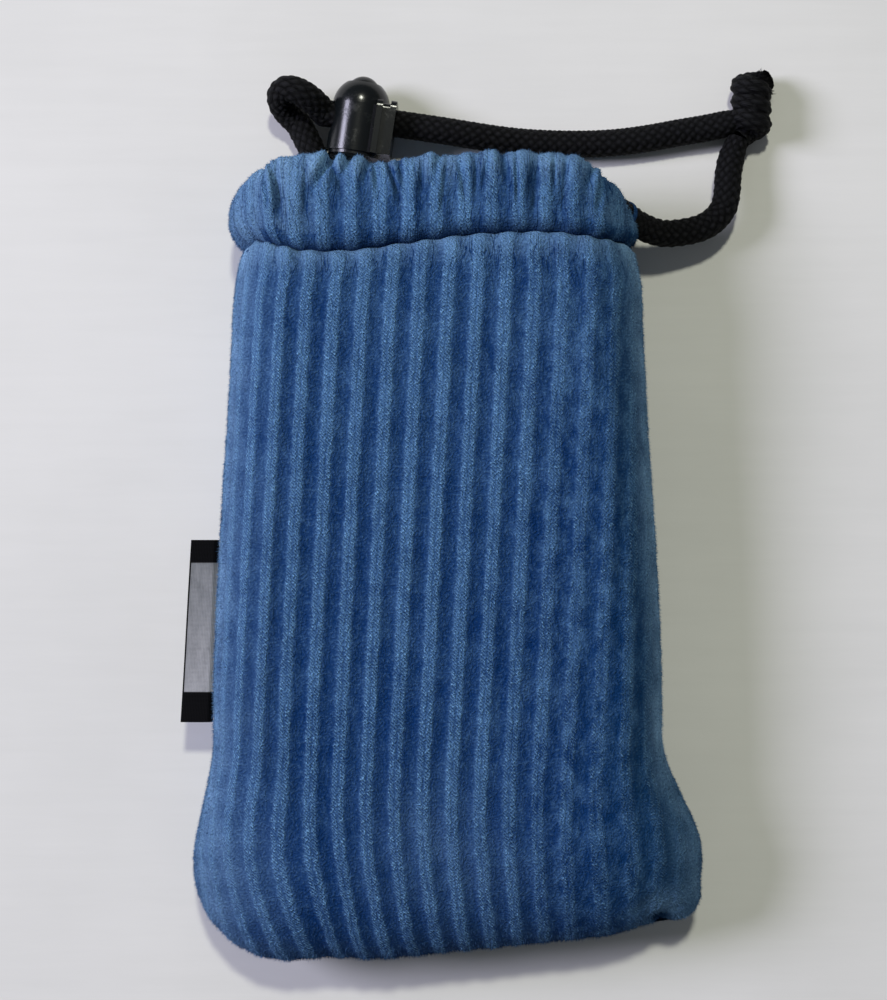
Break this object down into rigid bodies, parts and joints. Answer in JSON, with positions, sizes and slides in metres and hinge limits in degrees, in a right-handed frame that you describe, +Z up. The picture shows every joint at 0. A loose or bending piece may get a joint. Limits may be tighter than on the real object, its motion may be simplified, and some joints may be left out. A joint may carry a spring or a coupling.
{
  "type": "drawstring pouch",
  "caption": "Padded pouch of ribbed velour with a rolled cord channel round its mouth, a knotted braided drawcord, a spring cord lock and a folded side label.",
  "frame": {"origin": "at the middle of the bounding box of everything but the free cord and its lock, on the plane the pouch lies on", "axes": "+X to the right across the pouch, +Y from the bottom seam to the mouth, +Z up, from the back to the front"},
  "size_m": [0.1145, 0.1705, 0.0257],
  "materials": {
    "velour": "soft ribbed pile",
    "foam": "soft foam",
    "lining": "plain weave",
    "thread": "spun polyester",
    "cord": "braided",
    "label_cloth": "woven satin",
    "lock_plastic": "moulded, slightly worn",
    "steel": "spring wire"
  },
  "bodies": {
    "pouch": {"front_panel": "velour", "back_panel": "velour", "front_padding": "foam", "back_padding": "foam", "front_lining": "lining", "back_lining": "lining", "front_casing": "velour", "back_casing": "velour", "front_casing_stitching": "thread", "back_casing_stitching": "thread", "left_seam_thread": "thread", "right_seam_thread": "thread", "bottom_seam_thread": "thread", "corner_tack": "thread", "right_eyelet_stitching": "thread", "back_eyelet_stitching": "thread", "drawcord_in_casing": "cord", "drawcord_right_run": "cord", "drawcord_left_run": "cord", "cord_knot": "cord", "cord_tails": "cord"},
    "lock": {"lock_housing": "lock_plastic", "lock_base": "lock_plastic", "lock_spring": "steel"},
    "plunger": {"lock_plunger": "lock_plastic"},
    "label": {"side_label": "label_cloth"}
  },
  "joints": [
    {"name": "lock_slide", "type": "slide", "parent": "pouch", "child": "lock", "axis": [0.989, -0.1478, 0], "range_m": [0, 0.008]},
    {"name": "plunger_press", "type": "slide", "parent": "lock", "child": "plunger", "axis": [-0.1478, -0.989, 0], "range_m": [0, 0.0012], "stiffness_N_per_m": 500, "springref_m": -0.001, "deforming": ["lock_spring"]},
    {"name": "label_bend", "type": "hinge", "parent": "pouch", "child": "label", "pos_m": [-0.0431, -0.014, 0.011], "axis": [0.0359, 0.9994, 0], "range_deg": [-60, 60], "stiffness_Nm_per_rad": 0.0005}
  ]
}
